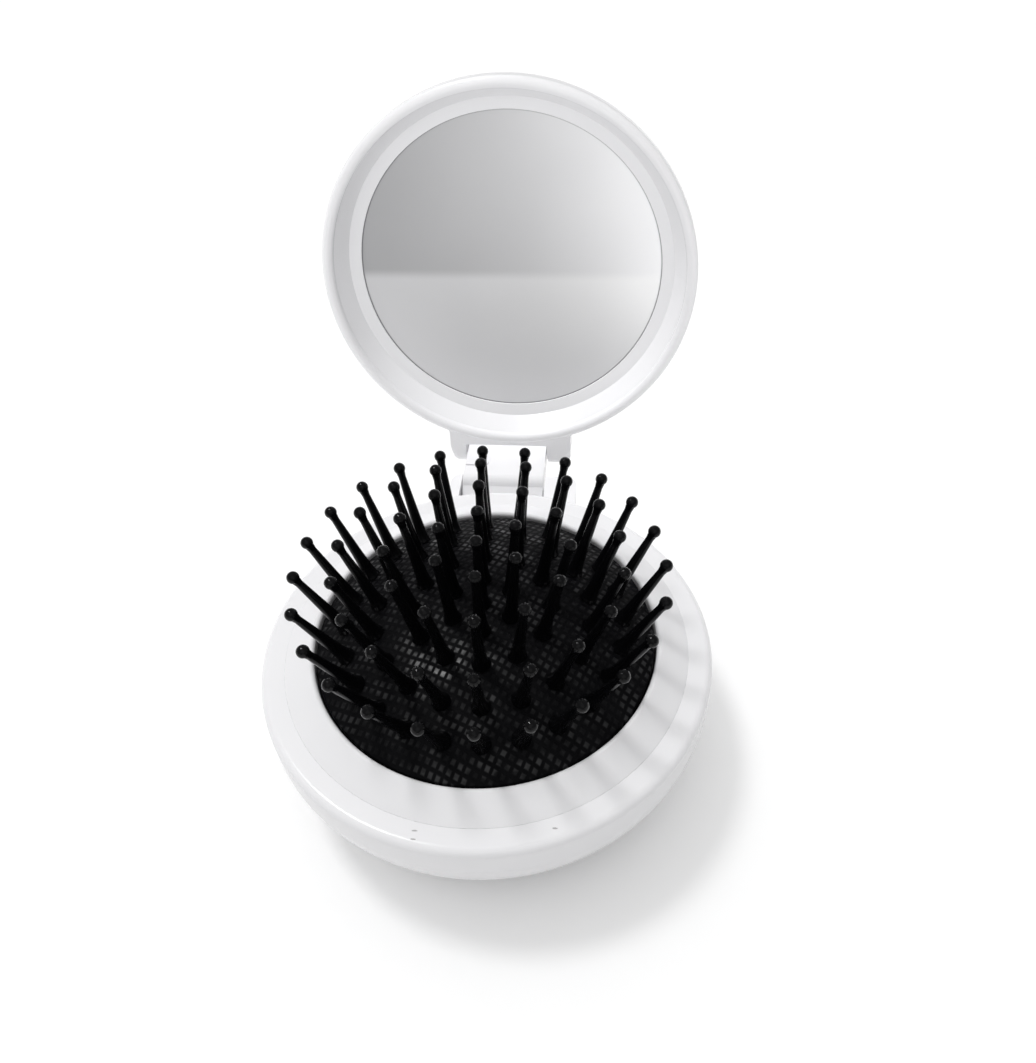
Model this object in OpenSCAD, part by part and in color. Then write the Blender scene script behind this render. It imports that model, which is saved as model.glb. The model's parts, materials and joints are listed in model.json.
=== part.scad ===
// Folding round hairbrush with a mirror lid: a pop-up cushion with ball-tipped pins
// in a bowl-shaped base, and a round lid on a double hinge with a short link.
// Millimetres. +X right, +Y towards the hinge, +Z up. The origin is on the floor,
// under the centre of the base. The brush is up and the lid stands open.

/* [Base] */
// Outer diameter of the base at its belly
base_d = 70; // [66:0.5:76]
// Height of the rim above the floor
base_h = 20.4; // [19.5:0.1:24]
// Wall of the base shell
base_wall = 1.7; // [1.4:0.1:2.2]
// Radius that rounds the outer edge of the rim
rim_round = 1.2; // [0.6:0.1:2]
// Height of the upright band under the rim
belly_drop = 4.2; // [3.4:0.1:5]
// Radius of the curve under the upright band
belly_r = 14; // [10:0.5:18]
// Lean of the lower wall from the vertical, in degrees
belly_taper = 22; // [20:0.5:24]
// Outer diameter of the foot
foot_d = 57.8; // [57:0.1:59]
// Diameter of the seam between the rim and the guide ring
seam_d = 62.6; // [61:0.1:63.4]
// Visible gap at the seams between shells
seam_gap = 0.01; // [0.01:0.01:0.1]

/* [Guide ring] */
// Bore that the brush slides in
guide_d = 52.8; // [52:0.1:53.2]
// Height of the edge of the guide ring above the rim
seam_step = 0.06; // [0.04:0.02:0.3]
// Height of the raised inner lip above the rim
lip_rise = 2.2; // [1.2:0.1:3]
// Radius that rounds the inner lip
lip_round = 0.6; // [0.3:0.1:0.9]
// Wall of the guide tube
guide_wall = 1.0; // [0.8:0.05:1.1]
// Thickness of the flange under the raised cone
guide_flange = 1.5; // [1.2:0.1:2]
// Height of the stop step above the floor
stop_z = 1.6; // [1.5:0.1:2]
// Thickness of the stop step
stop_t = 1.2; // [1:0.1:1.6]
// How far the stop step reaches inwards
stop_reach = 1.4; // [1:0.1:1.8]

/* [Push dish] */
// Running gap between sliding faces
slide_gap = 0.3; // [0.2:0.05:0.4]
// Gap between the dish and the floor
dish_lift = 0.3; // [0.2:0.1:0.6]
// Wall of the push dish
dish_wall = 1.2; // [1:0.1:1.6]
// Thickness of the button rim of the dish
dish_rim_t = 1.0; // [0.8:0.1:1.1]
// Depth of the finger hollow under the dish
finger_dip = 1.0; // [0.5:0.1:1.6]
// Thickness of the flange of the cushion frame
frame_t = 1.0; // [0.8:0.1:1.2]
// Length of the spigot of the frame in the dish
spigot_h = 6; // [4:0.5:8]

/* [Cushion] */
// Height of the crown above the edge of the cushion
crown_h = 7.55; // [6:0.05:8.5]
// Thickness of the rubber
cushion_t = 1.8; // [1.4:0.1:2.2]
// Thickness of the edge that stands on the frame
cushion_edge_t = 0.8; // [0.5:0.1:1]
// Gap round pieces that are clamped or pressed together
fit_gap = 0.1; // [0.05:0.01:0.15]

/* [Bristle pins] */
// Length of a pin above the cushion
pin_len = 14.1; // [12:0.1:14.2]
// Diameter of the ball tip
ball_d = 1.9; // [1.7:0.05:2.1]
// Diameter of the shank under the ball
shank_tip_d = 1.15; // [1:0.05:1.3]
// Diameter of the shank above its flare
shank_root_d = 2; // [1.8:0.05:2.2]
// Diameter of the flare that stands on the cushion
flare_d = 2.8; // [2.4:0.05:3]
// Diameter of the neck in the rubber
neck_d = 1.3; // [1.1:0.05:1.5]
// Diameter of the anchor head under the rubber
head_d = 2.6; // [2.2:0.1:3]
// Thickness of the anchor head
head_t = 0.6; // [0.4:0.1:0.9]
// Lean of the outer ring of pins, in degrees
lean_outer = 25.9; // [24.5:0.1:26]
// Lean of the second ring, in degrees
lean_second = 19.7; // [18.5:0.1:20.5]
// Lean of the third ring, in degrees
lean_third = 12.3; // [11:0.1:13.5]
// Lean of the inner ring, in degrees
lean_inner = 5.9; // [5:0.1:7]

/* [Lid] */
// Outer diameter of the lid
lid_d = 64; // [62:0.1:64.4]
// Thickness of the lid
lid_t = 9; // [8.8:0.1:10.5]
// Wall of the lid
lid_wall = 1.5; // [1.3:0.1:1.5]
// Diameter of the round bead along the rim of the lid
bead_d = 1.86; // [1.6:0.02:2.2]
// Depth of the straight side of the lid
lid_side = 2.4; // [1.8:0.1:3]
// Radial reach of the curve between the side and the back
lid_curve = 9.5; // [8:0.1:11]
// Depth of the foot of the sloping wall inside the lid
slope_depth = 4.9; // [4.4:0.1:5]
// Radial width of the sloping wall
slope_w = 1.8; // [1.4:0.1:2.4]
// Radial width of the bezel round the mirror
bezel_w = 2.05; // [1.5:0.05:2.5]
// Depth of the inner edge of the bezel
bezel_depth = 5.5; // [5.2:0.1:5.6]
// Thickness of the mirror
mirror_t = 1.1; // [0.9:0.1:1.2]
// Overlap of the bezel on the mirror
mirror_lap = 0.65; // [0.4:0.05:0.7]
// Thickness of the adhesive pad behind the mirror
tape_t = 0.4; // [0.3:0.05:0.5]

/* [Hinge] */
// Width of the hinge tab of the base
base_tab_w = 23.8; // [23:0.1:26]
// Shift of the hinge tab of the base to the right
base_tab_x = 0.6; // [0:0.1:0.8]
// Width of the hinge tab of the lid
lid_tab_w = 23.2; // [22:0.1:24]
// Shift of the hinge tab of the lid to the left
lid_tab_shift = 0.6; // [0:0.1:0.9]
// Width of the link
link_w = 15.2; // [14:0.1:16]
// Shift of the link to the left
link_shift = 1.4; // [0:0.1:1.4]
// Side gap between the link and the ears
ear_gap = 0.35; // [0.3:0.05:0.5]
// Distance of the lower pin from the edge of the base
base_axis_out = 4.5; // [4.3:0.1:5.2]
// Depth of the lower pin under the rim
base_axis_drop = 5; // [4.4:0.1:5.4]
// Half height of the base ears round the pin
base_ear_r = 2.7; // [2.5:0.1:3]
// Radius that rounds the long edges of the base ears
base_ear_edge = 0.8; // [0.4:0.1:1.4]
// Distance of the upper pin from the edge of the lid
lid_axis_out = 4.6; // [4.2:0.1:5]
// Depth of the upper pin behind the rim of the lid
lid_axis_depth = 5.5; // [5:0.1:6]
// Radius of the lid ears round the pin
lid_ear_r = 2.2; // [2:0.1:2.4]
// Diameter of both hinge pins
hinge_pin_d = 1.6; // [1.4:0.1:1.8]
// Radial clearance of a pin in the link
pin_run_gap = 0.05; // [0.02:0.01:0.08]
// Radial clearance of a pin in the ears
pin_press_gap = 0.01; // [0.01:0.01:0.03]
// Radius of the rounded corners of both tabs
tab_round = 2.8; // [1.5:0.1:3.2]
// Rib of the lid tab that is left above the link
lug_rib = 0.9; // [0.4:0.1:1.2]
// Radius of the fillets where the lid tab meets the lid
tab_fillet = 1.4; // [1:0.1:3]
// Height of the shoulder of the link above the line of its pins
link_shoulder = 3.55; // [2.9:0.05:3.6]
// Distance of the shoulder from the lower pin
shoulder_out = 1.6; // [1:0.1:2.4]
// Width of the pad on the left of the link
pad_w = 4.4; // [4:0.1:6]
// Length of the pad from the upper end of the link
pad_len = 7; // [4:0.1:7.4]
// Radius of the round corner of the pad
pad_round = 0.9; // [0.5:0.1:1.5]
// Width and depth of the groove round the pad
groove = 0.45; // [0.25:0.05:0.5]
// Lean of the open lid behind the vertical
lid_lean = 7.9; // [0:0.1:20]
// Turn left in the upper hinge when the lid is shut, in degrees
fold_slack = 0.3; // [0.2:0.1:2]
// Gap between the closed lid and the raised cone
close_gap = 0.5; // [0.25:0.05:0.6]

/* [Hidden] */
$fn = 96;
eps = 0.01;

// Base and guide ring
base_r = base_d / 2;
foot_r = foot_d / 2;
foot_round = 0.8;
seam_r = seam_d / 2;
guide_r = guide_d / 2;
tube_r = guide_r + guide_wall;
stop_r = guide_r - stop_reach;
rim_flat_r = base_r - rim_round;
ledge_w = 1.1;
ledge_z = base_h - guide_flange - fit_gap;
belly_z = base_h - belly_drop;
taper_r = base_r - belly_r * (1 - cos(belly_taper));
taper_z = belly_z - belly_r * sin(belly_taper);

// Brush carriage
ride_r = guide_r - slide_gap;
dish_r = stop_r - slide_gap;
dip_r = dish_r - 2 * dish_wall;
frame_z = base_h - slide_gap;
travel = frame_z - stop_z - stop_t;
cushion_r = ride_r - fit_gap;
cushion_z = frame_z + frame_t + fit_gap;
edge_top_z = cushion_z + cushion_edge_t;
crown_r = (cushion_r * cushion_r + crown_h * crown_h) / (2 * crown_h);
crown_z = edge_top_z + crown_h - crown_r;
inner_r = crown_r - cushion_t;

// Hinge: where the upper pin is with the lid shut, and how long that makes the link
lid_r = lid_d / 2;
bead_r = bead_d / 2;
cone_slope = (lip_rise - seam_step) / (seam_r - guide_r);
close_z = base_h + seam_step + cone_slope * max(0, seam_r - lid_r + bead_r) + close_gap;
base_axis_y = base_r + base_axis_out;
base_axis_z = base_h - base_axis_drop;
lid_axis_y = lid_r + lid_axis_out;
shut_dy = lid_axis_y - base_axis_y;
shut_dz = close_z + lid_axis_depth - base_axis_z;
link_len = norm([shut_dy, shut_dz]);
link_shut = atan2(shut_dz, shut_dy);
lid_turn = fold_slack;
link_turn = 90 + lid_lean - lid_turn;
link_open = link_shut - link_turn;
open_y = base_axis_y + link_len * cos(link_open);
open_z = base_axis_z + link_len * sin(link_open);
pin_r = hinge_pin_d / 2;
notch_w = link_w + 2 * ear_gap;
link_x = -link_shift;
lid_tab_x = -lid_tab_shift;
lug_front = bead_r + 0.15;
lug_end = lid_axis_y - 0.8;
lug_t = 2;
ear_cap = 1.5;

// Lid
bead_y = lid_r - bead_r;
slope_top_r = lid_r - bead_d;
slope_top_z = bead_r + 0.5;
slope_foot_r = slope_top_r - slope_w;
glass_open_r = slope_foot_r - bezel_w;
glass_r = glass_open_r + mirror_lap;
glass_z = bezel_depth + 0.4;
pocket_z = glass_z + mirror_t + tape_t + 2 * fit_gap;
back_r = lid_r - lid_curve;

white = [0.93, 0.94, 0.95];
black = [0.05, 0.05, 0.06];
steel = [0.75, 0.76, 0.78];

// Points of an arc round [cx, cy], from angle a0 to a1
function arc(cx, cy, r, a0, a1, n) =
    [for (i = [0:n]) let (a = a0 + (a1 - a0) * i / n) [cx + r * cos(a), cy + r * sin(a)]];

// Outline of the bowl, from the foot up to the flat of the rim
function bowl_outline() = concat(
    arc(foot_r - foot_round, foot_round, foot_round, -90, -belly_taper, 6),
    arc(base_r - belly_r, belly_z, belly_r, -belly_taper, 0, 10),
    arc(rim_flat_r, base_h - rim_round, rim_round, 0, 90, 8));

// Inside of the bowl, from the ledge down to the foot
function bowl_inside() = concat(
    [[seam_r, base_h], [seam_r, ledge_z], [seam_r - ledge_w, ledge_z],
     [seam_r - ledge_w, ledge_z - base_wall]],
    arc(base_r - belly_r, belly_z, belly_r - base_wall, 0, -belly_taper, 6),
    [[tube_r + fit_gap, stop_z + stop_t], [tube_r + fit_gap, 0]]);

module base_shell() color(white) difference() {
    union() {
        rotate_extrude() polygon(concat(bowl_outline(), bowl_inside()));
        base_tab();
    }
    ear_bore(base_tab_x, base_axis_y, base_axis_z, base_tab_w);
}

// Two ears with round outer corners, joined to the wall of the bowl
module base_tab() difference() {
    translate([base_tab_x, 0, 0]) intersection() {
        side_extrude(base_tab_w) ear_side();
        linear_extrude(base_h) tab_plan(base_tab_w, base_axis_y + base_ear_r);
    }
    translate([0, 0, -eps]) cylinder(h = base_h, r = base_r - base_wall / 2);
    notch(base_r + eps, base_axis_y + 2 * base_ear_r, 0, base_h + eps);
}

// Side of the base ears: a bar with round upper and lower edges at its end
module ear_side() union() {
    reach = base_axis_y + base_ear_r - tube_r;
    flat = base_ear_r - base_ear_edge;
    translate([tube_r, base_axis_z - base_ear_r]) square([reach - base_ear_edge, 2 * base_ear_r]);
    translate([tube_r, base_axis_z - flat]) square([reach, 2 * flat]);
    for (s = [-1, 1])
        translate([tube_r + reach - base_ear_edge, base_axis_z + s * flat]) circle(base_ear_edge);
}

// Plan of a tab: a rectangle that reaches out to y_end, with round outer corners
module tab_plan(w, y_end) union() {
    translate([-w / 2, 0]) square([w, y_end - tab_round]);
    translate([-w / 2 + tab_round, 0]) square([w - 2 * tab_round, y_end]);
    for (s = [-1, 1])
        translate([s * (w / 2 - tab_round), y_end - tab_round]) circle(tab_round);
}

// A profile in Y and Z, extruded along X and centred
module side_extrude(w) translate([-w / 2, 0, 0]) rotate([90, 0, 90]) linear_extrude(w) children();

// Space for the link between two ears
module notch(y0, y1, z0, z1) translate([link_x - notch_w / 2, y0, z0])
    cube([notch_w, y1 - y0, z1 - z0]);

// Pin hole through the left ear, blind in the right one
module ear_bore(x, y, z, w) translate([x - w / 2 - eps, y, z]) rotate([0, 90, 0])
    cylinder(h = w - ear_cap, r = pin_r + pin_press_gap);

// Raised cone, guide tube and stop step in one piece
module guide_ring() color(white) rotate_extrude() polygon(concat(
    arc(seam_r - seam_gap - seam_step, base_h, seam_step, 0, 70, 4),
    arc(guide_r + lip_round, base_h + lip_rise - lip_round, lip_round, 66, 180, 8),
    [[guide_r, stop_z + stop_t], [stop_r, stop_z + stop_t], [stop_r, stop_z],
     [guide_r, stop_z], [guide_r, dish_lift], [tube_r, dish_lift],
     [tube_r, base_h - guide_flange], [seam_r - seam_gap, base_h - guide_flange]]));

module hinge_pin(w) translate([-w / 2 + slide_gap, 0, 0]) rotate([0, 90, 0])
    cylinder(h = w - ear_cap - 2 * slide_gap, r = pin_r);

module base_hinge_pin() color(steel) translate([base_tab_x, base_axis_y, base_axis_z])
    hinge_pin(base_tab_w);

// Cup with a button rim below the stop step and a hollow for the finger
module push_dish() color(white) rotate_extrude() polygon(concat(
    [for (i = [0:8]) let (t = i / 8) [dip_r * t, dish_lift + finger_dip * (1 - t * t)]],
    [[ride_r, dish_lift], [ride_r, dish_lift + dish_rim_t],
     [dish_r, dish_lift + dish_rim_t], [dish_r, frame_z - fit_gap],
     [dish_r - dish_wall, frame_z - fit_gap],
     [dish_r - dish_wall, dish_lift + dish_wall + finger_dip],
     [0, dish_lift + dish_wall + finger_dip]]));

// Flange that carries the cushion, with a spigot in the dish
module cushion_frame() color(black) rotate_extrude() polygon([
    [dish_r - 2 * dish_wall - fit_gap, frame_z - spigot_h],
    [dish_r - dish_wall - fit_gap, frame_z - spigot_h],
    [dish_r - dish_wall - fit_gap, frame_z], [ride_r, frame_z],
    [ride_r, frame_z + frame_t], [dish_r - 2 * dish_wall - fit_gap, frame_z + frame_t]]);

// Hollow rubber dome with a hole for each pin
module cushion_pad() color(black) difference() {
    rotate_extrude() polygon(concat(
        [[cushion_r, cushion_z]],
        arc(0, crown_z, crown_r, asin((edge_top_z - crown_z) / crown_r), 90, 16),
        arc(0, crown_z, inner_r, 90, asin((cushion_z - crown_z) / inner_r), 16)));
    for (p = pin_places()) at_pin(p[0], p[1])
        cylinder(h = 3 * cushion_t, r = neck_d / 2 + fit_gap / 2, center = true);
}

// Pin rings: [lean, number of pins, angle of the first pin]
first_pin_angle = 95.5;
function ring(lean, n) = [for (i = [0:n - 1]) [lean, first_pin_angle + 360 * i / n]];
function pin_places() = concat(ring(lean_outer, 24), ring(lean_second, 18),
    ring(lean_third, 12), ring(lean_inner, 6), [[0, 0]]);

// Puts a pin on the dome: its root lies on the crown surface, square to it
module at_pin(lean, turn) translate([0, 0, crown_z]) rotate([0, lean, turn])
    translate([0, 0, crown_r]) children();

// One pin: anchor head, neck, flared root, tapered shank and ball tip
module pin() rotate_extrude() polygon(concat(
    [[0, -cushion_t - fit_gap - head_t], [head_d / 2, -cushion_t - fit_gap - head_t],
     [head_d / 2, -cushion_t - fit_gap], [neck_d / 2, -cushion_t - fit_gap],
     [neck_d / 2, fit_gap]],
    [for (t = [0, 0.04, 0.09, 0.16, 0.4, 0.7, 0.93]) [shank_r(t), fit_gap + t * shank_h()]],
    arc(0, pin_len - ball_d / 2, ball_d / 2, -ball_start, 90, 9)));

// Shank length up to the ball, and its radius: a straight taper that flares at the root
ball_start = 40;
function shank_h() = pin_len - ball_d / 2 - fit_gap - ball_d / 2 * sin(ball_start);
function shank_r(t) = (shank_tip_d + (shank_root_d - shank_tip_d) * (1 - t)
    + (flare_d - shank_root_d) * pow(1 - t, 12)) / 2;

module pin_ring(lean, n) color(black) for (p = ring(lean, n)) at_pin(p[0], p[1]) pin();
module pins_outer_ring() pin_ring(lean_outer, 24);
module pins_second_ring() pin_ring(lean_second, 18);
module pins_third_ring() pin_ring(lean_third, 12);
module pins_inner_ring() pin_ring(lean_inner, 6);
module pin_centre() color(black) at_pin(0, 0) pin();

// Link between the two pins, modelled flat and turned to its open angle
module hinge_link() color(white) translate([0, base_axis_y, base_axis_z])
    rotate([link_open, 0, 0]) difference() {
        translate([link_x, 0, 0]) side_extrude(link_w) polygon(link_outline());
        for (y = [0, link_len]) translate([-link_w, y, 0]) rotate([0, 90, 0])
            cylinder(h = 2 * link_w, r = pin_r + pin_run_gap);
        translate([link_x - link_w / 2, link_len, shoulder_z(link_len - pad_len) - groove])
            linear_extrude(link_shoulder) difference() {
                pad_plan(groove);
                pad_plan(0);
            }
    }

// Side outline of the link, with its shoulder near the lower pin
function link_outline() = concat(arc(0, 0, base_ear_r, 160, 270, 8),
    arc(link_len, 0, lid_ear_r, -90, 60, 9),
    [[shoulder_out, link_shoulder]],
    arc(shoulder_out, link_shoulder - lid_ear_r, lid_ear_r, 100, 150, 5));

// Height of the upper face of the link at a distance from the lower pin
function shoulder_z(y) = link_shoulder - (y - shoulder_out)
    * (link_shoulder - lid_ear_r * sin(60)) / (link_len + lid_ear_r * cos(60) - shoulder_out);

// Plan of the pad, grown by g, with a round inner corner
module pad_plan(g) union() {
    translate([-pad_w, -pad_len - g]) square([2 * pad_w - pad_round, 2 * pad_len]);
    translate([-pad_w, pad_round - pad_len]) square([2 * pad_w + g, 2 * pad_len]);
    translate([pad_w - pad_round, pad_round - pad_len]) circle(pad_round + g);
}

// The lid is modelled shut, with its rim at z = 0 and its back up, and then opened
module lid_place() translate([0, open_y, open_z]) rotate([-90 - lid_lean, 0, 0])
    translate([0, -lid_axis_y, -lid_axis_depth]) children();

module lid_hinge_pin() color(steel) lid_place()
    translate([lid_tab_x, lid_axis_y, lid_axis_depth]) hinge_pin(lid_tab_w);

// Cap with a round bead, a straight side, a curved back and the hinge tab
module lid_shell() color(white) lid_place() difference() {
    union() {
        rotate_extrude() polygon(concat([[0, 1]],
            arc(bead_y, bead_r, bead_r, 180, 360, 12),
            [for (i = [0:14]) let (a = 90 * i / 14)
                [back_r + lid_curve * cos(a), lid_side + (lid_t - lid_side) * sin(a)]],
            [[0, lid_t]]));
        lid_tab();
    }
    rotate_extrude() polygon([[0, -1], [slope_top_r + seam_gap, -1],
        [slope_top_r + seam_gap, slope_depth], [bezel_back_r() + fit_gap, pocket_z],
        [0, pocket_z]]);
    ear_bore(lid_tab_x, lid_axis_y, lid_axis_depth, lid_tab_w);
}

// A flat front plate with round corners, and two ears behind it that hold the pin
module lid_tab() difference() {
    translate([lid_tab_x, 0, 0]) union() {
        translate([0, 0, lug_front]) linear_extrude(lug_t) {
            tab_plan(lid_tab_w, lug_end);
            tab_fillets();
        }
        intersection() {
            side_extrude(lid_tab_w + 4 * tab_fillet) union() {
                translate([lid_axis_y, lid_axis_depth]) circle(lid_ear_r);
                polygon([[lid_r - lid_wall, lug_front + lug_t / 2],
                    [lug_end - lug_t / 2, lug_front + lug_t / 2],
                    [lid_axis_y + lid_ear_r * cos(10), lid_axis_depth - lid_ear_r * sin(10)],
                    [lid_axis_y, lid_axis_depth + lid_ear_r],
                    [back_r + lid_wall, lid_axis_depth + lid_ear_r],
                    [back_r + lid_wall, slope_depth]]);
            }
            linear_extrude(lid_t) union() {
                tab_plan(lid_tab_w, lid_axis_y + lid_ear_r);
                tab_fillets();
            }
        }
    }
    translate([0, 0, -eps]) cylinder(h = lid_t, r = lid_r - lid_wall / 2);
    notch(lid_r + lug_rib, lid_axis_y + 2 * lid_ear_r, 0, lid_t);
}

// Concave corners between the round lid and the sides of its tab
module tab_fillets() for (s = [-1, 1]) difference() {
    x = lid_tab_w / 2 + tab_fillet;
    y = sqrt(pow(lid_r + tab_fillet - 3 * eps, 2) - pow(x + s * lid_tab_x, 2));
    translate([s * x - (s > 0 ? tab_fillet : 0), y - 2 * tab_fillet])
        square([tab_fillet, 2 * tab_fillet]);
    translate([s * x, y]) circle(tab_fillet);
}

// Outer radius of the bezel at its back face
function bezel_back_r() = glass_r + 1.2;

// Ring with the sloping wall and the bezel that holds the mirror
module lid_bezel() color(white) lid_place() rotate_extrude() polygon([
    [glass_open_r, bezel_depth], [slope_foot_r, slope_depth], [slope_top_r, slope_top_z],
    [slope_top_r, slope_depth], [bezel_back_r(), pocket_z - fit_gap],
    [glass_r + fit_gap, pocket_z - fit_gap], [glass_r + fit_gap, glass_z - fit_gap],
    [glass_open_r, glass_z - fit_gap]]);

module mirror_glass() color([0.8, 0.82, 0.84]) lid_place()
    translate([0, 0, glass_z]) cylinder(h = mirror_t, r = glass_r);

module mirror_tape() color([0.85, 0.85, 0.82]) lid_place()
    translate([0, 0, glass_z + mirror_t + fit_gap]) cylinder(h = tape_t, r = glass_open_r);

base_shell();
guide_ring();
base_hinge_pin();
push_dish();
cushion_frame();
cushion_pad();
pins_outer_ring();
pins_second_ring();
pins_third_ring();
pins_inner_ring();
pin_centre();
hinge_link();
lid_hinge_pin();
lid_shell();
lid_bezel();
mirror_glass();
mirror_tape();

echo(travel = travel, link_len = link_len, link_turn = link_turn, lid_turn = lid_turn,
    base_axis = [base_axis_y, base_axis_z], open_axis = [open_y, open_z], close_z = close_z,
    crown = crown_z + crown_r, tips = crown_z + crown_r + pin_len, pocket_z = pocket_z);
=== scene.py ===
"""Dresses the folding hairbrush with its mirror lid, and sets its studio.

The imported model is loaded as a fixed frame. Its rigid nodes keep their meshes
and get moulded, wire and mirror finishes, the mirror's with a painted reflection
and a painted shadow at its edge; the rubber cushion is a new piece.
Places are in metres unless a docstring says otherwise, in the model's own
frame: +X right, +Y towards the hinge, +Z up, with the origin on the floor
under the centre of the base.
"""

import json
import logging
import math
from dataclasses import dataclass, field
from enum import Enum

import bpy
import numpy as np
from mathutils import Matrix, Vector


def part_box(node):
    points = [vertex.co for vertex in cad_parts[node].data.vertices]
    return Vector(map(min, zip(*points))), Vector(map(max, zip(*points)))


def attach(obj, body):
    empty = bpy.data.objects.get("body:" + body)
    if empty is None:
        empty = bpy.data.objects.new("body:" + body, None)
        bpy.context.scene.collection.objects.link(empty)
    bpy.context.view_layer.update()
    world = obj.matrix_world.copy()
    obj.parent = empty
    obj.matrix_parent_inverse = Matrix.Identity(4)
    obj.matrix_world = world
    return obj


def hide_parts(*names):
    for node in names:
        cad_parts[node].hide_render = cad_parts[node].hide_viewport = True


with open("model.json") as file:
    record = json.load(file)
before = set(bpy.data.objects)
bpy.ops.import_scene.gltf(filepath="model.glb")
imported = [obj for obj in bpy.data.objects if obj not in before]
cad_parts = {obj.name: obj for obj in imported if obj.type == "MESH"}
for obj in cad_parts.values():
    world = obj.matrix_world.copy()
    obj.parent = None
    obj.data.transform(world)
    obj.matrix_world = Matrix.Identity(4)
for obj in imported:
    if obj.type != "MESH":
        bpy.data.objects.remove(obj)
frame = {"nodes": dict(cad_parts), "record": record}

LOG = logging.getLogger("hairbrush")
MM = 0.001
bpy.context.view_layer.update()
Colour = tuple[float, float, float]
Socket = bpy.types.NodeSocket
Value = float | Socket


class Kind(Enum):
    """What a socket of a node group carries."""

    NUMBER = "NodeSocketFloat"
    PLACE = "NodeSocketVector"


class Listed(Enum):
    """What a lamp's list does with the nodes on it."""

    IN = "INCLUDE"
    OUT = "EXCLUDE"


# ---------------------------------------------------------------- node tools


class NodeGroup:
    """A shader node group that is built once and placed in many materials."""

    def __init__(self, name: str) -> None:
        """Starts an empty group.

        Args:
            name: the group's name.
        """
        self.tree = bpy.data.node_groups.new(name, "ShaderNodeTree")
        self.inlet = self.tree.nodes.new("NodeGroupInput")
        self.outlet = self.tree.nodes.new("NodeGroupOutput")

    def takes(self, name: str, kind: Kind = Kind.NUMBER) -> None:
        """Adds an input called name."""
        self.tree.interface.new_socket(name, in_out="INPUT", socket_type=kind.value)

    def gives(self, name: str) -> None:
        """Adds an output called name, which is a number."""
        self.tree.interface.new_socket(name, in_out="OUTPUT", socket_type=Kind.NUMBER.value)

    def math(self, operation: str, *values: Value) -> Socket:
        """Adds a Math node and returns its output."""
        return add_math(self.tree, operation, *values)

    def noise(self, scale: float, detail: float = 1.0) -> bpy.types.Node:
        """Adds a Noise node that reads the group's Vector.

        Args:
            scale: how fine it is, in cells per metre.
            detail: how many finer layers it has.

        Returns:
            The node.
        """
        node = self.tree.nodes.new("ShaderNodeTexNoise")
        node.inputs["Scale"].default_value = scale
        node.inputs["Detail"].default_value = detail
        self.tree.links.new(self.given("Vector"), node.inputs["Vector"])
        return node

    def given(self, name: str) -> Socket:
        """Returns the group's input called name."""
        return self.inlet.outputs[name]

    def give(self, name: str, value: Socket) -> None:
        """Links value to the group's output called name."""
        self.tree.links.new(value, self.outlet.inputs[name])


def add_math(tree: bpy.types.NodeTree, operation: str, *values: Value) -> Socket:
    """Adds a Math node.

    Args:
        tree: the node tree that takes it.
        operation: the node's operation.
        values: numbers, or sockets to link.

    Returns:
        The node's output socket.
    """
    node = tree.nodes.new("ShaderNodeMath")
    node.operation = operation
    for slot, value in zip(node.inputs, values):
        if isinstance(value, (int, float)):
            slot.default_value = value
        else:
            tree.links.new(value, slot)
    return node.outputs[0]


def smooth_step(tree: bpy.types.NodeTree, value: Socket, low: float, high: float) -> Socket:
    """Adds a smooth step of a value.

    Args:
        tree: the node tree that takes it.
        value: the socket to step.
        low: where the step starts, at 0.
        high: where the step ends, at 1.

    Returns:
        The output socket.
    """
    node = tree.nodes.new("ShaderNodeMapRange")
    node.interpolation_type = "SMOOTHSTEP"
    node.inputs["From Min"].default_value = low
    node.inputs["From Max"].default_value = high
    tree.links.new(value, node.inputs["Value"])
    return node.outputs["Result"]


# ------------------------------------------------------------- shared effects

# How fine each noise is, in cells per metre
ROW_DRIFT = 110.0
RUBBED_PATCHES = 300.0
FIBRES = 2600.0
SINK_MARKS = 45.0
PLASTIC_GRAIN = 1800.0
SCUFF_CRUMBS = 4000.0

# Where a smooth step starts and ends
KNOT_EDGE = (0.15, 0.7)
HUMP_EDGE = (0.05, 0.9)
RUBBED_EDGE = (0.43, 0.66)
SCUFF_EDGE = (0.0, 0.5)

RUBBED_SHARE = 0.9  # the share of a knot's shine that only rubbed patches have
FIBRE_SHARE = 0.12  # the height of the fibres against that of a knot
SCUFF_REACH = 1.6  # the largest (distance / size)^2 that a scuff can reach


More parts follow.
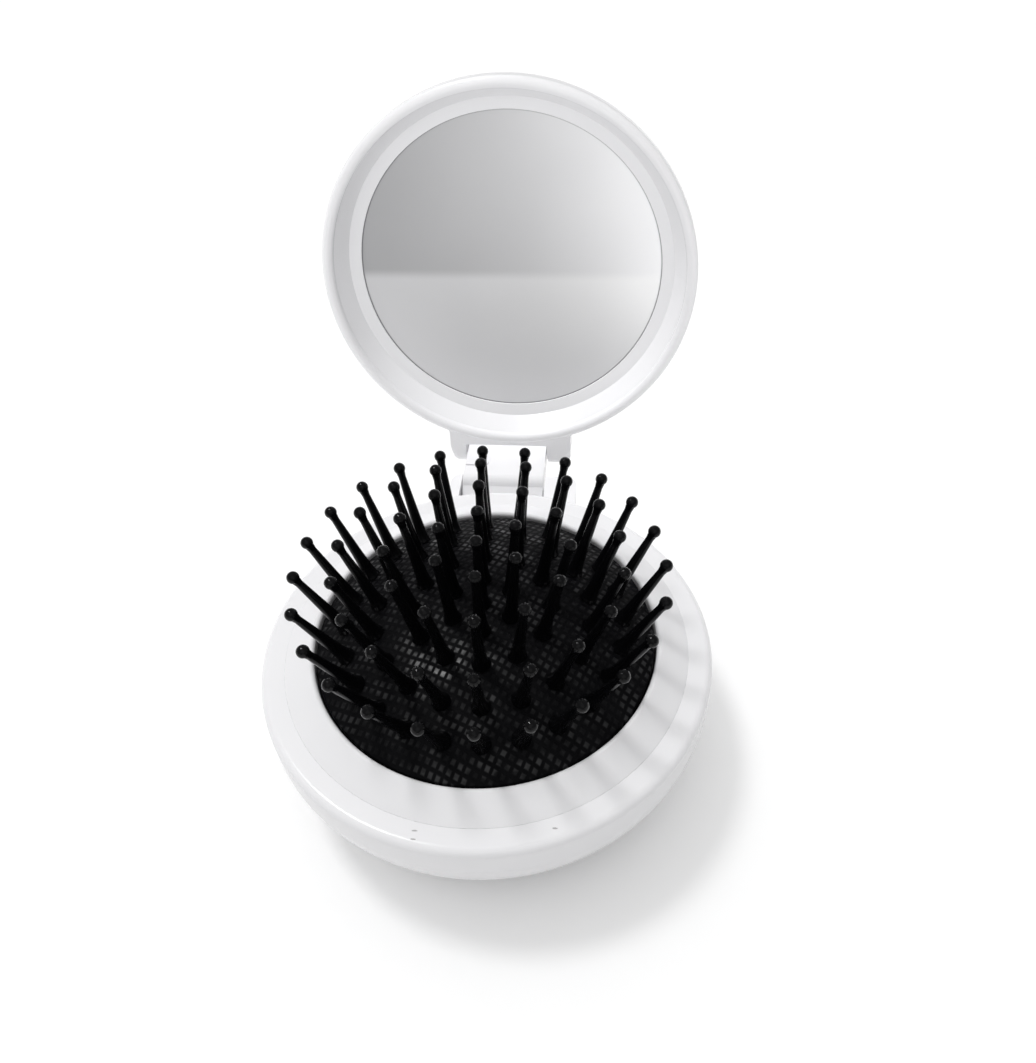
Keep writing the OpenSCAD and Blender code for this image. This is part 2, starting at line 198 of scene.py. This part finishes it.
def build_weave_group() -> NodeGroup:
    """Builds the woven look of the cushion: square knots in a slightly warped grid.

    With u and v as the place in pitches along and across the rows, a knot is the
    lesser of sin(pi u)^2 and sin(pi v)^2, and fine noise stands for the fibres.
    The knots shine in the patches where slow noise has them rubbed.

    Returns:
        The group, with outputs Knot (how much a knot shines), Height and Fibre.
    """
    group = NodeGroup("woven_knots")
    group.takes("Vector", Kind.PLACE)
    for name in ("Pitch Along", "Pitch Across", "Warp"):
        group.takes(name)
    for name in ("Knot", "Height", "Fibre"):
        group.gives(name)
    split = group.tree.nodes.new("ShaderNodeSeparateXYZ")
    group.tree.links.new(group.given("Vector"), split.inputs[0])
    drift = group.tree.nodes.new("ShaderNodeSeparateColor")
    group.tree.links.new(group.noise(ROW_DRIFT).outputs["Color"], drift.inputs[0])
    waves = []
    for axis, pitch in enumerate(("Pitch Along", "Pitch Across")):
        shift = group.math("MULTIPLY", group.math("SUBTRACT", drift.outputs[axis], 0.5),
                           group.given("Warp"))
        place = group.math("DIVIDE", group.math("ADD", split.outputs[axis], shift),
                           group.given(pitch))
        wave = group.math("SINE", group.math("MULTIPLY", place, math.pi))
        waves.append(group.math("MULTIPLY", wave, wave))
    knot = group.math("MINIMUM", *waves)
    fibre = group.noise(FIBRES, detail=2.0).outputs["Fac"]
    patches = group.noise(RUBBED_PATCHES, detail=4.0).outputs["Fac"]
    rubbed = smooth_step(group.tree, patches, *RUBBED_EDGE)
    shine = group.math("MULTIPLY", smooth_step(group.tree, knot, *KNOT_EDGE),
                       group.math("MULTIPLY_ADD", rubbed, RUBBED_SHARE, 1.0 - RUBBED_SHARE))
    group.give("Knot", shine)
    group.give("Height", group.math("MULTIPLY_ADD", fibre, FIBRE_SHARE,
                                    smooth_step(group.tree, knot, *HUMP_EDGE)))
    group.give("Fibre", fibre)
    return group


def build_ripple_group() -> NodeGroup:
    """Builds the faint unevenness of moulded plastic.

    Returns:
        The group, with outputs Height (slow sink marks and fine grain) and
        Shade (a slow change of tone).
    """
    group = NodeGroup("moulding_ripple")
    group.takes("Vector", Kind.PLACE)
    group.takes("Grain")
    for name in ("Height", "Shade"):
        group.gives(name)
    slow = group.noise(SINK_MARKS).outputs["Fac"]
    fine = group.noise(PLASTIC_GRAIN, detail=2.0).outputs["Fac"]
    group.give("Height", group.math("ADD", slow, group.math("MULTIPLY", fine,
                                                            group.given("Grain"))))
    group.give("Shade", slow)
    return group


def build_scuff_group() -> NodeGroup:
    """Builds one small oval scuff, where scaled noise is above (distance / size)^2.

    Returns:
        The group, with one output, Mark, which is 1 in the middle of the scuff.
    """
    group = NodeGroup("handling_scuff")
    group.takes("Vector", Kind.PLACE)
    for name in ("Across", "Along", "Up", "Length", "Width"):
        group.takes(name)
    group.gives("Mark")
    split = group.tree.nodes.new("ShaderNodeSeparateXYZ")
    group.tree.links.new(group.given("Vector"), split.inputs[0])
    parts = []
    for axis, (name, size) in enumerate((("Across", "Length"), ("Along", "Width"),
                                         ("Up", "Length"))):
        gap = group.math("SUBTRACT", split.outputs[axis], group.given(name))
        parts.append(group.math("POWER", group.math("ABSOLUTE", group.math(
            "DIVIDE", gap, group.given(size))), 2.0))
    reach = group.math("ADD", group.math("ADD", *parts[:2]), parts[2])
    crumbs = group.noise(SCUFF_CRUMBS, detail=2.0).outputs["Fac"]
    inside = group.math("SUBTRACT", group.math("MULTIPLY", crumbs, SCUFF_REACH), reach)
    group.give("Mark", smooth_step(group.tree, inside, *SCUFF_EDGE))
    return group


@dataclass
class Effects:
    """The shader node groups that the finishes share."""

    weave: NodeGroup = field(default_factory=build_weave_group)
    ripple: NodeGroup = field(default_factory=build_ripple_group)
    scuff: NodeGroup = field(default_factory=build_scuff_group)


class Recipe:
    """A material under construction, with short names for its common steps."""

    def __init__(self, name: str) -> None:
        """Starts a material with a Principled shader.

        Args:
            name: the material's name.
        """
        self.material = bpy.data.materials.new(name)
        self.material.use_nodes = True
        self.tree = self.material.node_tree
        self.shader = self.tree.nodes["Principled BSDF"]
        self.where = self.tree.nodes.new("ShaderNodeTexCoord").outputs["Object"]

    def set(self, **values: float | tuple[float, ...]) -> None:
        """Sets plain values on the shader; an underscore stands for a space."""
        for name, value in values.items():
            self.shader.inputs[name.replace("_", " ")].default_value = value

    def link(self, value: Socket, name: str) -> None:
        """Links value to the shader's input called name."""
        self.tree.links.new(value, self.shader.inputs[name])

    def vary(self, value: Socket, name: str, amount: float, start: float) -> None:
        """Links start + amount * value to the shader's input called name."""
        self.link(add_math(self.tree, "MULTIPLY_ADD", value, amount, start), name)

    def place(self, group: NodeGroup, vector: Socket | None = None,
              **values: float) -> bpy.types.Node:
        """Places a shared group.

        Args:
            group: the group.
            vector: the coordinates it reads; Object coordinates if None.
            values: plain values of its inputs; an underscore stands for a space.

        Returns:
            The placed node.
        """
        node = self.tree.nodes.new("ShaderNodeGroup")
        node.node_tree = group.tree
        self.tree.links.new(vector or self.where, node.inputs["Vector"])
        for name, value in values.items():
            node.inputs[name.replace("_", " ")].default_value = value
        return node

    def bump(self, height: Socket, distance: float, strength: float = 1.0) -> None:
        """Raises the surface in the shading alone.

        Args:
            height: the height, as a share of distance.
            distance: the height that stands for 1, in metres.
            strength: how much of it shows, from 0 to 1.
        """
        node = self.tree.nodes.new("ShaderNodeBump")
        node.inputs["Distance"].default_value = distance
        node.inputs["Strength"].default_value = strength
        self.tree.links.new(height, node.inputs["Height"])
        self.link(node.outputs["Normal"], "Normal")

    def mix(self, factor: Socket, low: Colour | Socket, high: Colour | Socket) -> Socket:
        """Mixes two colours.

        Args:
            factor: how much of high shows, from 0 to 1.
            low: a colour, or a colour socket.
            high: the other one.

        Returns:
            The socket of the mixed colour.
        """
        node = self.tree.nodes.new("ShaderNodeMix")
        node.data_type = "RGBA"
        self.tree.links.new(factor, node.inputs[0])
        for name, value in (("A", low), ("B", high)):
            slot = next(i for i in node.inputs if i.name == name and i.type == "RGBA")
            if isinstance(value, tuple):
                slot.default_value = (*value, 1.0)
            else:
                self.tree.links.new(value, slot)
        return next(o for o in node.outputs if o.type == "RGBA")


# ------------------------------------------------------------------ finishes


@dataclass(frozen=True)
class GlossyWhite:
    """White moulded plastic with a polished skin and a few tiny scuffs.

    The places of the scuffs are in millimetres.
    """

    name: str = "glossy_white"
    low: Colour = (0.800, 0.798, 0.812)
    high: Colour = (0.822, 0.820, 0.834)
    mark: Colour = (0.42, 0.41, 0.41)
    roughness: float = 0.2
    roughness_drift: float = 0.08
    gloss: float = 0.4
    ior: float = 1.5
    grain: float = 0.08
    relief: float = 0.01 * MM
    relief_strength: float = 0.4
    scuffs: tuple[tuple[float, float, float], ...] = (
        (-5.9, -33.2, 20.4), (-5.9, -32.0, 20.4), (12.6, -30.4, 20.4))
    scuff_length: float = 0.5 * MM
    scuff_width: float = 0.16 * MM

    def build(self, effects: Effects) -> bpy.types.Material:
        """Builds the material.

        Args:
            effects: the shared node groups.

        Returns:
            The material.
        """
        recipe = Recipe(self.name)
        ripple = recipe.place(effects.ripple, Grain=self.grain)
        tone = recipe.mix(ripple.outputs["Shade"], self.low, self.high)
        for across, along, up in self.scuffs:
            scuff = recipe.place(effects.scuff, Across=across * MM, Along=along * MM,
                                 Up=up * MM, Length=self.scuff_length,
                                 Width=self.scuff_width)
            tone = recipe.mix(scuff.outputs["Mark"], tone, self.mark)
        recipe.link(tone, "Base Color")
        recipe.vary(ripple.outputs["Shade"], "Roughness", self.roughness_drift, self.roughness)
        recipe.bump(ripple.outputs["Height"], self.relief, self.relief_strength)
        recipe.set(IOR=self.ior, Specular_IOR_Level=self.gloss)
        return recipe.material


@dataclass(frozen=True)
class BlackNylon:
    """Black nylon of the bristle pins, shiny from the mould."""

    name: str = "black_nylon"
    low: Colour = (0.0016, 0.0016, 0.0020)
    high: Colour = (0.0030, 0.0030, 0.0036)
    roughness: float = 0.11
    roughness_drift: float = 0.06
    gloss: float = 0.17
    grain: float = 0.02
    relief: float = 0.01 * MM
    relief_strength: float = 0.3

    def build(self, effects: Effects) -> bpy.types.Material:
        """Builds the material.

        Args:
            effects: the shared node groups.

        Returns:
            The material.
        """
        recipe = Recipe(self.name)
        ripple = recipe.place(effects.ripple, Grain=self.grain)
        recipe.link(recipe.mix(ripple.outputs["Shade"], self.low, self.high), "Base Color")
        recipe.vary(ripple.outputs["Shade"], "Roughness", self.roughness_drift, self.roughness)
        recipe.bump(ripple.outputs["Height"], self.relief, self.relief_strength)
        recipe.set(Specular_IOR_Level=self.gloss)
        return recipe.material


@dataclass(frozen=True)
class WovenRubber:
    """Black rubber membrane whose skin carries a woven pattern of shiny knots."""

    name: str = "woven_rubber"
    ground: Colour = (0.0018, 0.0018, 0.0024)
    thread: Colour = (0.0050, 0.0050, 0.0062)
    pitch_along: float = 1.13 * MM
    pitch_across: float = 1.35 * MM
    warp: float = 1.1 * MM
    turn_deg: float = 22.0
    relief: float = 0.14 * MM
    roughness: float = 0.5
    roughness_drift: float = 0.3
    gloss: float = 0.08
    knot_roughness: float = 0.33

    def build(self, effects: Effects) -> bpy.types.Material:
        """Builds the material.

        Args:
            effects: the shared node groups.

        Returns:
            The material.
        """
        recipe = Recipe(self.name)
        turn = recipe.tree.nodes.new("ShaderNodeMapping")
        turn.inputs["Rotation"].default_value[2] = math.radians(self.turn_deg)
        recipe.tree.links.new(recipe.where, turn.inputs["Vector"])
        weave = recipe.place(effects.weave, turn.outputs["Vector"], Warp=self.warp,
                             Pitch_Along=self.pitch_along, Pitch_Across=self.pitch_across)
        knot = weave.outputs["Knot"]
        recipe.link(recipe.mix(knot, self.ground, self.thread), "Base Color")
        recipe.vary(weave.outputs["Fibre"], "Roughness", self.roughness_drift, self.roughness)
        recipe.link(knot, "Coat Weight")
        recipe.bump(weave.outputs["Height"], self.relief)
        recipe.set(Specular_IOR_Level=self.gloss, Coat_Roughness=self.knot_roughness)
        return recipe.material


@dataclass(frozen=True)
class SilverMirror:
    """Silvered glass with a painted reflection of a soft, uneven studio wall.

    The painted reflection runs darker on the left and lighter on the right, as the
    power curve of the share of the width plus a slow drift. The lower half is
    painted paler and flattens towards the bottom, and a thin painted shadow
    darkens the glass's edge, where the bezel's lip shades it.
    """

    name: str = "silver_mirror"
    # Painted reflection: these colours, the foot, the curve, the drift and the split paint the
    # studio wall that the mirror shows.
    reflection_dim: Colour = (0.36, 0.36, 0.368)
    reflection_bright: Colour = (0.95, 0.95, 0.96)
    lower_reflection_dim: Colour = (0.56, 0.56, 0.57)
    lower_reflection_bright: Colour = (1.00, 1.00, 1.00)
    foot: Colour = (0.66, 0.66, 0.67)
    curve: float = 1.7
    drift: float = 0.12
    drift_start: float = 0.44
    split_share: float = 0.495
    split_below: float = 0.03
    split_above: float = 0.01
    # Painted shadow: the colour and place of a dark ring at the glass's edge, where the
    # bezel's lip shades it.
    edge: Colour = (0.22, 0.22, 0.23)
    edge_shadow_r: float = 26.28 * MM
    edge_shadow_w: float = 0.28 * MM
    roughness: float = 0.34
    silver: float = 0.22

    def build(self, effects: Effects) -> bpy.types.Material:
        """Builds the material.

        Args:
            effects: the shared node groups.

        Returns:
            The material.
        """
        recipe = Recipe(self.name)
        low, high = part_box("mirror_glass")
        width, height = high[0] - low[0], high[2] - low[2]
        split = recipe.tree.nodes.new("ShaderNodeSeparateXYZ")
        recipe.tree.links.new(recipe.where, split.inputs[0])
        ripple = recipe.place(effects.ripple, Grain=0.0)
        drift = add_math(recipe.tree, "MULTIPLY_ADD", ripple.outputs["Shade"], self.drift,
                         self.drift_start)
        across = add_math(recipe.tree, "MULTIPLY_ADD", split.outputs[0], 1.0 / width, drift)
        across = add_math(recipe.tree, "POWER", across, self.curve)
        share = add_math(recipe.tree, "MULTIPLY_ADD", split.outputs[2], 1.0 / height,
                         -low[2] / height)
        # Painted reflection of the studio wall: darker on the left, lighter on the right,
        # paler in the lower half.
        upper = recipe.mix(across, self.reflection_dim, self.reflection_bright)
        under = recipe.mix(across, self.lower_reflection_dim, self.lower_reflection_bright)
        under = recipe.mix(smooth_step(recipe.tree, share, 0.0, self.split_share),
                           self.foot, under)
        step = smooth_step(recipe.tree, share, self.split_share - self.split_below,
                           self.split_share + self.split_above)
        tone = recipe.mix(step, under, upper)
        reach = recipe.tree.nodes.new("ShaderNodeVectorMath")
        reach.operation = "DISTANCE"
        recipe.tree.links.new(recipe.where, reach.inputs[0])
        reach.inputs[1].default_value = [(a + b) / 2 for a, b in zip(low, high)]
        # Painted shadow at the glass's edge, under the bezel's lip.
        rim = smooth_step(recipe.tree, reach.outputs["Value"], self.edge_shadow_r - self.edge_shadow_w,
                          self.edge_shadow_r)
        recipe.link(recipe.mix(rim, tone, self.edge), "Base Color")
        recipe.set(Metallic=self.silver, Roughness=self.roughness)
        return recipe.material


@dataclass(frozen=True)
class DrawnSteel:
    """Drawn steel wire of the hinge pins."""

    name: str = "drawn_steel"
    low: Colour = (0.45, 0.45, 0.46)
    high: Colour = (0.62, 0.62, 0.63)
    grain: float = 0.5
    roughness: float = 0.3

    def build(self, effects: Effects) -> bpy.types.Material:
        """Builds the material.

        Args:
            effects: the shared node groups.

        Returns:
            The material.
        """
        recipe = Recipe(self.name)
        ripple = recipe.place(effects.ripple, Grain=self.grain)
        recipe.link(recipe.mix(ripple.outputs["Shade"], self.low, self.high), "Base Color")
        recipe.set(Metallic=1.0, Roughness=self.roughness)
        return recipe.material


@dataclass(frozen=True)
class FoamTape:
    """Pale foam tape that holds the mirror."""

    name: str = "foam_tape"
    low: Colour = (0.60, 0.60, 0.56)
    high: Colour = (0.70, 0.70, 0.66)
    grain: float = 0.8
    roughness: float = 0.9
    relief: float = 0.05 * MM

    def build(self, effects: Effects) -> bpy.types.Material:
        """Builds the material.

        Args:
            effects: the shared node groups.

        Returns:
            The material.
        """
        recipe = Recipe(self.name)
        ripple = recipe.place(effects.ripple, Grain=self.grain)
        recipe.link(recipe.mix(ripple.outputs["Shade"], self.low, self.high), "Base Color")
        recipe.set(Roughness=self.roughness)
        recipe.bump(ripple.outputs["Height"], self.relief)
        return recipe.material


def wear(obj: bpy.types.Object, material: bpy.types.Material) -> bpy.types.Object:
    """Gives every material slot of an object one material.

    Args:
        obj: the object.
        material: the material.

    Returns:
        The same object.
    """
    if not obj.material_slots:
        obj.data.materials.append(material)
    for slot in obj.material_slots:
        slot.material = material
    return obj


# -------------------------------------------------------------- sub-assemblies


@dataclass
class Housing:
    """The white shells of base, link and lid, and their hinge wires."""

    shells: tuple[str, ...] = ("base_shell", "guide_ring", "push_dish", "hinge_link",
                               "lid_shell", "lid_bezel")
    wires: tuple[str, ...] = ("base_hinge_pin", "lid_hinge_pin")

    def dress(self, effects: Effects) -> list[bpy.types.Object]:
        """Puts the finishes on the shells and wires.

        Args:
            effects: the shared node groups.

        Returns:
            The dressed nodes.
        """
        white = GlossyWhite().build(effects)
        steel = DrawnSteel().build(effects)
        return [*(wear(frame["nodes"][name], white) for name in self.shells),
                *(wear(frame["nodes"][name], steel) for name in self.wires)]


@dataclass
class MirrorSet:
    """The mirror and the tape behind it."""

    glass: str = "mirror_glass"
    tape: str = "mirror_tape"

    def dress(self, effects: Effects) -> list[bpy.types.Object]:
        """Puts the finishes on the mirror and its tape, and returns both."""
        return [wear(frame["nodes"][self.glass], SilverMirror().build(effects)),
                wear(frame["nodes"][self.tape], FoamTape().build(effects))]


@dataclass
class Bristles:
    """The five sets of ball-tipped pins and the frame under them."""

    sets: tuple[str, ...] = ("pins_outer_ring", "pins_second_ring", "pins_third_ring",
                             "pins_inner_ring", "pin_centre")
    carrier: str = "cushion_frame"

    def dress(self, effects: Effects) -> list[bpy.types.Object]:
        """Puts the finish on the pins and the frame, and returns them."""
        nylon = BlackNylon().build(effects)
        return [wear(frame["nodes"][name], nylon) for name in (*self.sets, self.carrier)]


@dataclass
class Cushion:
    """The domed rubber cushion that the pins stand in.

    Its outside is the cap of a ball through the crown of the node that it
    replaces and a circle one edge above its foot. Its inside is the cap of a
    ball about the same centre, smaller by one wall. Each ring of pins is given
    by its lean from the axis, in degrees, and its number of pins.
    """

    wall: float = 1.5 * MM
    edge: float = 0.8 * MM
    rings: tuple[tuple[float, int], ...] = ((25.9, 24), (19.7, 18), (12.3, 12), (5.9, 6))
    first_pin_deg: float = 95.5
    dimple_depth: float = 0.22 * MM
    dimple_r: float = 1.5 * MM
    steps_out: int = 150
    steps_in: int = 50
    steps_round: int = 360

    def pin_roots(self, ball_r: float) -> np.ndarray:
        """Works out where the pins stand, in plan.

        A ring's radius is that of the ball times the sine of the ring's lean.

        Args:
            ball_r: the ball's radius.

        Returns:
            One row of x and y for each pin.
        """
        spots = [(0.0, 0.0)]
        for lean, count in self.rings:
            reach = ball_r * math.sin(math.radians(lean))
            turns = np.radians(self.first_pin_deg + 360.0 / count * np.arange(count))
            spots += list(zip(reach * np.cos(turns), reach * np.sin(turns)))
        return np.array(spots)

    def profile(self) -> tuple[np.ndarray, np.ndarray, float]:
        """Works out the section as radius against height.

        The ball's radius is (rim^2 + rise^2) / (2 rise), for a cap with that rim
        and rise. At angle a from the axis, a point of a ball lies at the radius
        ball sin(a) and at the height ball cos(a) above the centre.

        Returns:
            Radii and heights of the closed section from the crown, over the
            edge and back to the axis, then the ball's radius.
        """
        low, high = (np.array(corner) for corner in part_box("cushion_pad"))
        rim_r = (high[0] - low[0]) / 2
        rise = high[2] - low[2] - self.edge
        ball = (rim_r ** 2 + rise ** 2) / (2 * rise)
        centre = high[2] - ball
        outer = np.linspace(0.0, math.asin(rim_r / ball), self.steps_out)
        inner_ball = ball - self.wall
        inner_end = math.acos(min(1.0, (low[2] - centre) / inner_ball))
        inner = np.linspace(inner_end, 0.0, self.steps_in)
        radii = np.concatenate([ball * np.sin(outer), [rim_r], inner_ball * np.sin(inner)])
        heights = np.concatenate([centre + ball * np.cos(outer), [low[2]],
                                  centre + inner_ball * np.cos(inner)])
        return radii, heights, ball

    def build(self) -> bpy.types.Object:
        """Builds the cushion: the section carried round the axis, with dimples.

        At distance d from a pin its top lies lower by depth * exp(-(d / r)^2).

        Returns:
            The new piece.
        """
        radii, heights, ball = self.profile()
        turns = np.linspace(0.0, 2 * math.pi, self.steps_round, endpoint=False)
        x = radii[1:-1, None] * np.cos(turns)
        y = radii[1:-1, None] * np.sin(turns)
        z = np.broadcast_to(heights[1:-1, None], x.shape).copy()
        top = self.steps_out - 1
        for spot_x, spot_y in self.pin_roots(ball):
            near = ((x[:top] - spot_x) ** 2 + (y[:top] - spot_y) ** 2) / self.dimple_r ** 2
            z[:top] -= self.dimple_depth * np.exp(-near)
        z_top = heights[0] - self.dimple_depth
        points = np.stack([x, y, z], axis=-1).reshape(-1, 3)
        points = np.vstack([[0, 0, z_top], points, [0, 0, heights[-1]]])
        piece = mesh_round("cushion_membrane", points, len(radii) - 2, self.steps_round)
        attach(piece, "carriage")
        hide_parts("cushion_pad")
        return piece

    def dress(self, effects: Effects) -> list[bpy.types.Object]:
        """Builds the cushion, puts its finish on and returns it."""
        return [wear(self.build(), WovenRubber().build(effects))]


def mesh_round(name: str, points: np.ndarray, rows: int, columns: int) -> bpy.types.Object:
    """Makes a closed mesh of rows of rings between two poles.

    Args:
        name: the piece's name.
        points: the first pole, the rings row by row, and the last pole.
        rows: the number of rings.
        columns: the points of each ring.

    Returns:
        The object, smooth and with its faces outwards.
    """
    ring = np.arange(columns)
    after = np.roll(ring, -1)
    row = 1 + np.arange(rows - 1)[:, None] * columns
    quads = np.stack([row + ring, row + columns + ring, row + columns + after, row + after],
                     axis=-1).reshape(-1, 4)
    last = 1 + (rows - 1) * columns
    first_fan = np.stack([np.zeros(columns, int), 1 + ring, 1 + after], axis=-1)
    last_fan = np.stack([np.full(columns, last + columns), last + after, last + ring], axis=-1)
    mesh = bpy.data.meshes.new(name)
    faces = quads.tolist() + first_fan.tolist() + last_fan.tolist()
    mesh.from_pydata(points.tolist(), [], faces)
    mesh.shade_smooth()
    piece = bpy.data.objects.new(name, mesh)
    bpy.context.scene.collection.objects.link(piece)
    return piece


# --------------------------------------------------------------------- studio


@dataclass
class Viewpoint:
    """The camera of the photograph, with its place in millimetres."""

    place: tuple[float, float, float] = (16.9, -86.4, 132.0)
    turn_deg: float = -7.2
    drop_deg: float = 44.97
    roll_deg: float = 3.08
    focal_px: float = 900.0
    long_side_px: float = 1063.0
    sensor_mm: float = 36.0
    nearest: float = 5.0 * MM

    def build(self) -> None:
        """Makes the scene's camera."""
        turn, drop, roll = (math.radians(v) for v in
                            (self.turn_deg, self.drop_deg, self.roll_deg))
        right = Vector((math.cos(turn), -math.sin(turn), 0.0))
        ahead = Vector((math.sin(turn) * math.cos(drop), math.cos(turn) * math.cos(drop),
                        -math.sin(drop)))
        upward = right.cross(ahead)
        x_axis = math.cos(roll) * right - math.sin(roll) * upward
        y_axis = math.sin(roll) * right + math.cos(roll) * upward
        data = bpy.data.cameras.new("camera")
        data.sensor_width = self.sensor_mm
        data.lens = self.focal_px * self.sensor_mm / self.long_side_px
        data.clip_start = self.nearest
        camera = bpy.data.objects.new("camera", data)
        camera.matrix_world = Matrix.Translation(Vector(self.place) * MM) @ Matrix(
            (x_axis, y_axis, -ahead)).transposed().to_4x4()
        bpy.context.scene.collection.objects.link(camera)
        bpy.context.scene.camera = camera


@dataclass(frozen=True)
class Lamp:
    """One distant lamp.

    The bodies in `past` throw no shadow in its light. A lamp with bodies in
    `only` lights nothing else, and one without `glints` doesn't show in shiny
    pieces.
    """

    name: str
    direction: tuple[float, float, float]
    strength: float
    spread_deg: float
    past: tuple[str, ...] = ()
    only: tuple[str, ...] = ()
    glints: bool = True

    def build(self) -> None:
        """Makes the lamp and the lists of what it lights and what shades it."""
        data = bpy.data.lights.new(self.name, "SUN")
        data.energy, data.angle = self.strength, math.radians(self.spread_deg)
        lamp = bpy.data.objects.new(self.name, data)
        lamp.matrix_world = Vector(self.direction).to_track_quat("Z", "Y").to_matrix().to_4x4()
        bpy.context.scene.collection.objects.link(lamp)
        lamp.visible_glossy = self.glints
        if self.past:
            blockers = self.listing("blockers", self.past, Listed.OUT)
            lamp.light_linking.blocker_collection = blockers
        if self.only:
            lit = self.listing("lit", self.only, Listed.IN)
            lamp.light_linking.receiver_collection = lit

    def listing(self, title: str, bodies: tuple[str, ...],
                state: Listed) -> bpy.types.Collection:
        """Lists every node of some bodies for this lamp.

        Args:
            title: last part of the list's name.
            bodies: names of the bodies.
            state: whether their nodes are taken in or left out.

        Returns:
            The collection, which no view layer shows.
        """
        listed = bpy.data.collections.new(f"{self.name}_{title}")
        for body, names in frame["record"]["behaviour"]["bodies"].items():
            if body in bodies:
                for name in names:
                    listed.objects.link(frame["nodes"][name])
        for entry in listed.collection_objects:
            entry.light_linking.link_state = state.value
        return listed


@dataclass
class Studio:
    """The white table, the white surroundings and the four lamps."""

    floor_size: float = 4.0
    floor_colour: Colour = (0.94, 0.94, 0.94)
    floor_roughness: float = 0.9
    floor_gloss: float = 0.1
    floor_glow: float = 0.12
    sky: float = 0.34
    lamps: tuple[Lamp, ...] = (
        Lamp("key", (-0.42, 0.27, 1.10), 0.90, 12.0, past=("lid", "link")),
        Lamp("back", (-0.24, 0.28, 1.00), 1.50, 92.0, past=("lid", "link"), glints=False),
        Lamp("fill", (0.10, -0.55, 0.75), 0.29, 60.0),
        Lamp("lid_fill", (-0.12, -0.85, 0.30), 0.98, 50.0, only=("lid",)))

    def build(self) -> None:
        """Makes the floor, the world and the lamps."""
        self.build_floor()
        self.build_world()
        for lamp in self.lamps:
            lamp.build()
        bpy.context.scene.view_settings.view_transform = "Standard"

    def build_floor(self) -> None:
        """Makes the floor, which the camera and shiny pieces see a little whiter."""
        half = self.floor_size / 2
        mesh = bpy.data.meshes.new("floor")
        mesh.from_pydata([(-half, -half, 0), (half, -half, 0), (half, half, 0),
                          (-half, half, 0)], [], [(0, 1, 2, 3)])
        floor = bpy.data.objects.new("floor", mesh)
        bpy.context.scene.collection.objects.link(floor)
        recipe = Recipe("pale_floor")
        recipe.set(Base_Color=(*self.floor_colour, 1.0), Roughness=self.floor_roughness,
                   Specular_IOR_Level=self.floor_gloss)
        tree = recipe.tree
        glow = tree.nodes.new("ShaderNodeEmission")
        mix = tree.nodes.new("ShaderNodeMixShader")
        seen = seen_directly(tree)
        tree.links.new(add_math(tree, "MULTIPLY", seen, self.floor_glow), mix.inputs["Fac"])
        tree.links.new(recipe.shader.outputs[0], mix.inputs[1])
        tree.links.new(glow.outputs[0], mix.inputs[2])
        tree.links.new(mix.outputs[0], tree.nodes["Material Output"].inputs["Surface"])
        wear(floor, recipe.material)

    def build_world(self) -> None:
        """Makes the white surroundings, dimmer as light than as background."""
        world = bpy.data.worlds.new("surroundings")
        world.use_nodes = True
        tree = world.node_tree
        ground = tree.nodes["Background"]
        ground.inputs["Color"].default_value = (1.0, 1.0, 1.0, 1.0)
        strength = add_math(tree, "MULTIPLY_ADD", seen_directly(tree, glossy=False),
                            1.0 - self.sky, self.sky)
        tree.links.new(strength, ground.inputs["Strength"])
        bpy.context.scene.world = world


def seen_directly(tree: bpy.types.NodeTree, glossy: bool = True) -> Socket:
    """Tells a ray that sees a surface directly from one that only carries light.

    Args:
        tree: the node tree that asks.
        glossy: True to count glossy and transmission rays with the camera's.

    Returns:
        The output socket, which is 1 for such a ray and 0 for the others.
    """
    path = tree.nodes.new("ShaderNodeLightPath")
    seen = path.outputs["Is Camera Ray"]
    if glossy:
        for name in ("Is Glossy Ray", "Is Transmission Ray"):
            seen = add_math(tree, "MAXIMUM", seen, path.outputs[name])
    return seen


def main() -> None:
    """Builds the studio, dresses each sub-assembly and reports its pieces."""
    logging.basicConfig(level=logging.INFO, format="%(message)s")
    Viewpoint().build()
    Studio().build()
    effects = Effects()
    for assembly in (Housing(), MirrorSet(), Bristles(), Cushion()):
        for piece in assembly.dress(effects):
            LOG.info("%s has %d faces and wears %s", piece.name, len(piece.data.polygons),
                     piece.active_material.name)


if __name__ == "__main__":
    main()
